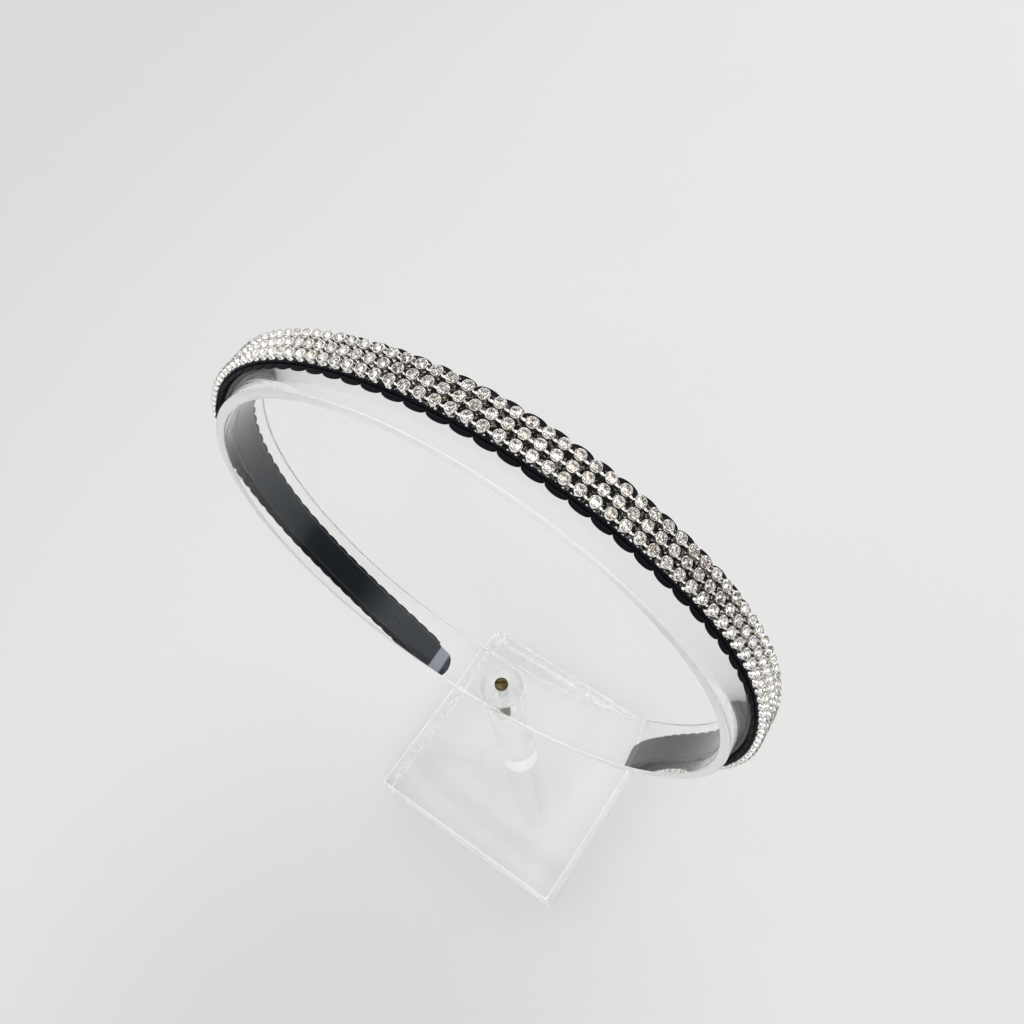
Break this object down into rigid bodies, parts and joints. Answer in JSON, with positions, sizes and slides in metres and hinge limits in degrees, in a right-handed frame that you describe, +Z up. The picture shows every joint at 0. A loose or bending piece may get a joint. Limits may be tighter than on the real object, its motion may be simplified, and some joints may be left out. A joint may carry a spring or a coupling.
{
  "type": "crystal headband on display stand",
  "caption": "Hard hair band with rows of cut crystal stones on a scalloped black trim, held on a clear loop stand with a post and a square base.",
  "frame": {"origin": "middle of the underside of the stand's base", "axes": "+Z up, X across the band from one leg to the other, -Y to the front of the loop, +Y to its back"},
  "size_m": [0.1382, 0.0694, 0.2142],
  "materials": {
    "stand_acrylic": "clear polished acrylic",
    "screw_brass": "darkened brass",
    "band_satin": "black satin wrapped tightly over a hard band",
    "trim_cloth": "black ribbed cord trim with scalloped edges",
    "ribbon_cloth": "black woven ribbon",
    "crystal_chain": "clear cut stones in bright silver cups joined by links"
  },
  "bodies": {
    "root": {"base_plate": "stand_acrylic", "post": "stand_acrylic", "screw": "screw_brass", "display_loop": "stand_acrylic", "band_core": "band_satin", "scalloped_trim": "trim_cloth", "base_ribbon": "ribbon_cloth", "crystal_row_front": "crystal_chain", "crystal_row_middle": "crystal_chain", "crystal_row_back": "crystal_chain"}
  },
  "joints": []
}
